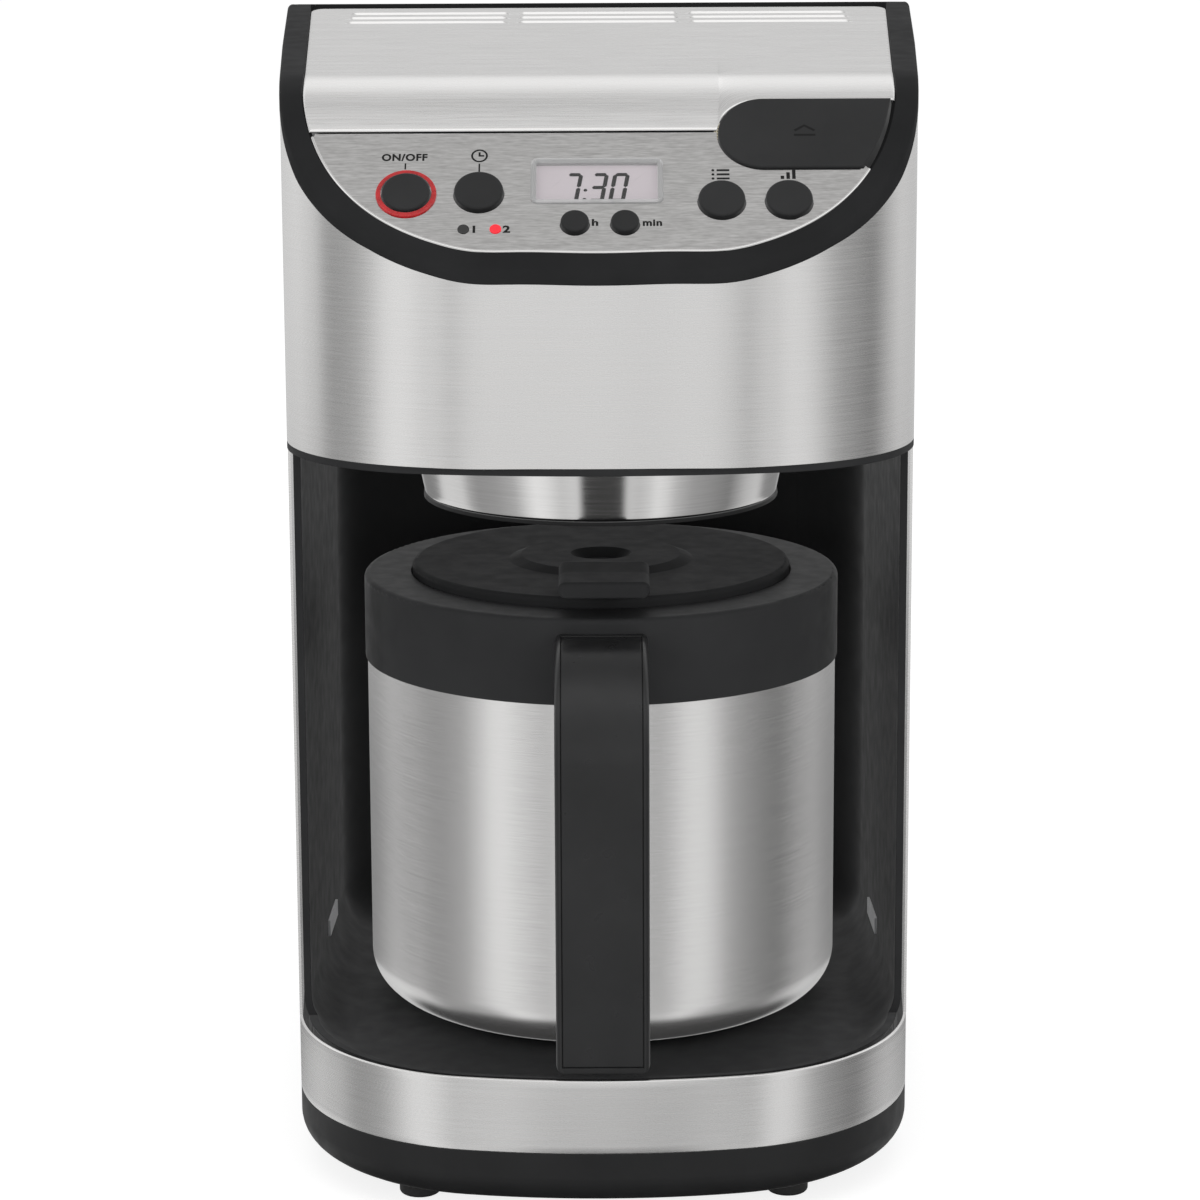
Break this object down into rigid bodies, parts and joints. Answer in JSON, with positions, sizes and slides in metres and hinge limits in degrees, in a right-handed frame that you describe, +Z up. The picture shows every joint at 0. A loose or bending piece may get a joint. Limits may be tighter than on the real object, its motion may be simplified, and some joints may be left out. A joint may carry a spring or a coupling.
{
  "type": "drip coffee maker",
  "caption": "Upright drip coffee maker with a sloped control panel, hinged top lid, steel wrap and a thermal carafe standing in an open bay.",
  "frame": {"origin": "on the floor under the centre of the bounding box", "axes": "+Z up, front of the machine faces -Y, +X to the right as seen from the front"},
  "size_m": [0.2158, 0.2369, 0.3588],
  "materials": {
    "black_plastic": "fine satin",
    "brushed_steel": "horizontal brush",
    "dark_rubber": "matte",
    "red_lens": "clear red",
    "window": "clear",
    "display": "grey display",
    "board": "green",
    "dark_gloss": "gloss",
    "cast_aluminium": "cast",
    "grey_plastic": "translucent grey",
    "mesh": "fine mesh"
  },
  "bodies": {
    "machine": {"base_band": "brushed_steel", "base_plate": "black_plastic", "base_screws": "brushed_steel", "base_tub": "black_plastic", "basket_bail": "black_plastic", "basket_shroud": "brushed_steel", "bay_liner": "black_plastic", "bay_pads": "grey_plastic", "control_board": "board", "control_panel": "brushed_steel", "cord_inlet": "black_plastic", "filter_basket": "black_plastic", "flow_heater": "cast_aluminium", "head_deck": "black_plastic", "head_floor": "black_plastic", "heater_saddles": "cast_aluminium", "hinge_brackets": "black_plastic", "hose_clamp": "brushed_steel", "indicator_lights": "red_lens", "inlet_hose": "dark_rubber", "lcd_glass": "window", "lcd_module": "display", "light_ring": "red_lens", "mesh_filter": "mesh", "panel_carrier": "black_plastic", "rear_cover": "black_plastic", "rear_screws": "brushed_steel", "riser_hose": "dark_rubber", "rubber_feet": "dark_rubber", "shower_arm": "black_plastic", "shroud_trim": "black_plastic", "steel_wrap": "brushed_steel", "tact_switches": "dark_gloss", "thermostat": "dark_gloss", "top_bezel": "black_plastic", "water_tank": "grey_plastic"},
    "lid": {"lid_skin": "brushed_steel", "lid_liner": "black_plastic", "lid_latch": "black_plastic"},
    "carafe": {"carafe_shell": "brushed_steel", "carafe_base": "black_plastic", "carafe_flask": "brushed_steel", "carafe_collar": "black_plastic", "handle_grip": "black_plastic", "handle_inlay": "black_plastic"},
    "carafe_stopper": {"carafe_lid": "black_plastic", "lever_pin": "brushed_steel", "carafe_lid_seal": "dark_rubber", "pour_valve": "black_plastic"},
    "lever": {"thumb_lever": "black_plastic"},
    "valve": {"drip_pin": "black_plastic"},
    "opener": {"open_button": "black_plastic"},
    "power_button": {"power_button": "black_plastic"},
    "auto_button": {"auto_button": "black_plastic"},
    "hour_button": {"hour_button": "black_plastic"},
    "minute_button": {"minute_button": "black_plastic"},
    "program_button": {"program_button": "black_plastic"},
    "strength_button": {"strength_button": "black_plastic"}
  },
  "joints": [
    {"name": "lid_hinge", "type": "hinge", "parent": "machine", "child": "lid", "pos_m": [0, 0.09495, 0.35232], "axis": [-1, 0, 0], "range_deg": [0, 85]},
    {"name": "open_press", "type": "slide", "parent": "machine", "child": "opener", "axis": [0, 0.6947, -0.7193], "range_m": [0, 0.0012], "stiffness_N_per_m": 900, "springref_m": -0.0006},
    {"name": "carafe_slide", "type": "slide", "parent": "machine", "child": "carafe", "axis": [0, -0.9877, 0.1564], "range_m": [0, 0.25]},
    {"name": "carafe_lid_turn", "type": "hinge", "parent": "carafe", "child": "carafe_stopper", "pos_m": [0, -0.00255, 0.18], "axis": [0, 0, 1], "range_deg": [0, 50]},
    {"name": "lever_press", "type": "hinge", "parent": "carafe_stopper", "child": "lever", "pos_m": [0.0009, -0.05155, 0.189], "axis": [1, 0, 0], "range_deg": [0, 7], "stiffness_Nm_per_rad": 1, "springref_deg": -5.73},
    {"name": "valve_lift", "type": "slide", "parent": "machine", "child": "valve", "axis": [0, 0, 1], "range_m": [0, 0.0025], "stiffness_N_per_m": 300, "springref_m": -0.003},
    {"name": "power_press", "type": "slide", "parent": "machine", "child": "power_button", "axis": [0, 0.6947, -0.7193], "range_m": [0, 0.0012], "stiffness_N_per_m": 800, "springref_m": -0.0005},
    {"name": "auto_press", "type": "slide", "parent": "machine", "child": "auto_button", "axis": [0, 0.6947, -0.7193], "range_m": [0, 0.0012], "stiffness_N_per_m": 800, "springref_m": -0.0005},
    {"name": "hour_press", "type": "slide", "parent": "machine", "child": "hour_button", "axis": [0, 0.6947, -0.7193], "range_m": [0, 0.0012], "stiffness_N_per_m": 800, "springref_m": -0.0005},
    {"name": "minute_press", "type": "slide", "parent": "machine", "child": "minute_button", "axis": [0, 0.6947, -0.7193], "range_m": [0, 0.0012], "stiffness_N_per_m": 800, "springref_m": -0.0005},
    {"name": "program_press", "type": "slide", "parent": "machine", "child": "program_button", "axis": [0, 0.6947, -0.7193], "range_m": [0, 0.0012], "stiffness_N_per_m": 800, "springref_m": -0.0005},
    {"name": "strength_press", "type": "slide", "parent": "machine", "child": "strength_button", "axis": [0, 0.6947, -0.7193], "range_m": [0, 0.0012], "stiffness_N_per_m": 800, "springref_m": -0.0005}
  ]
}
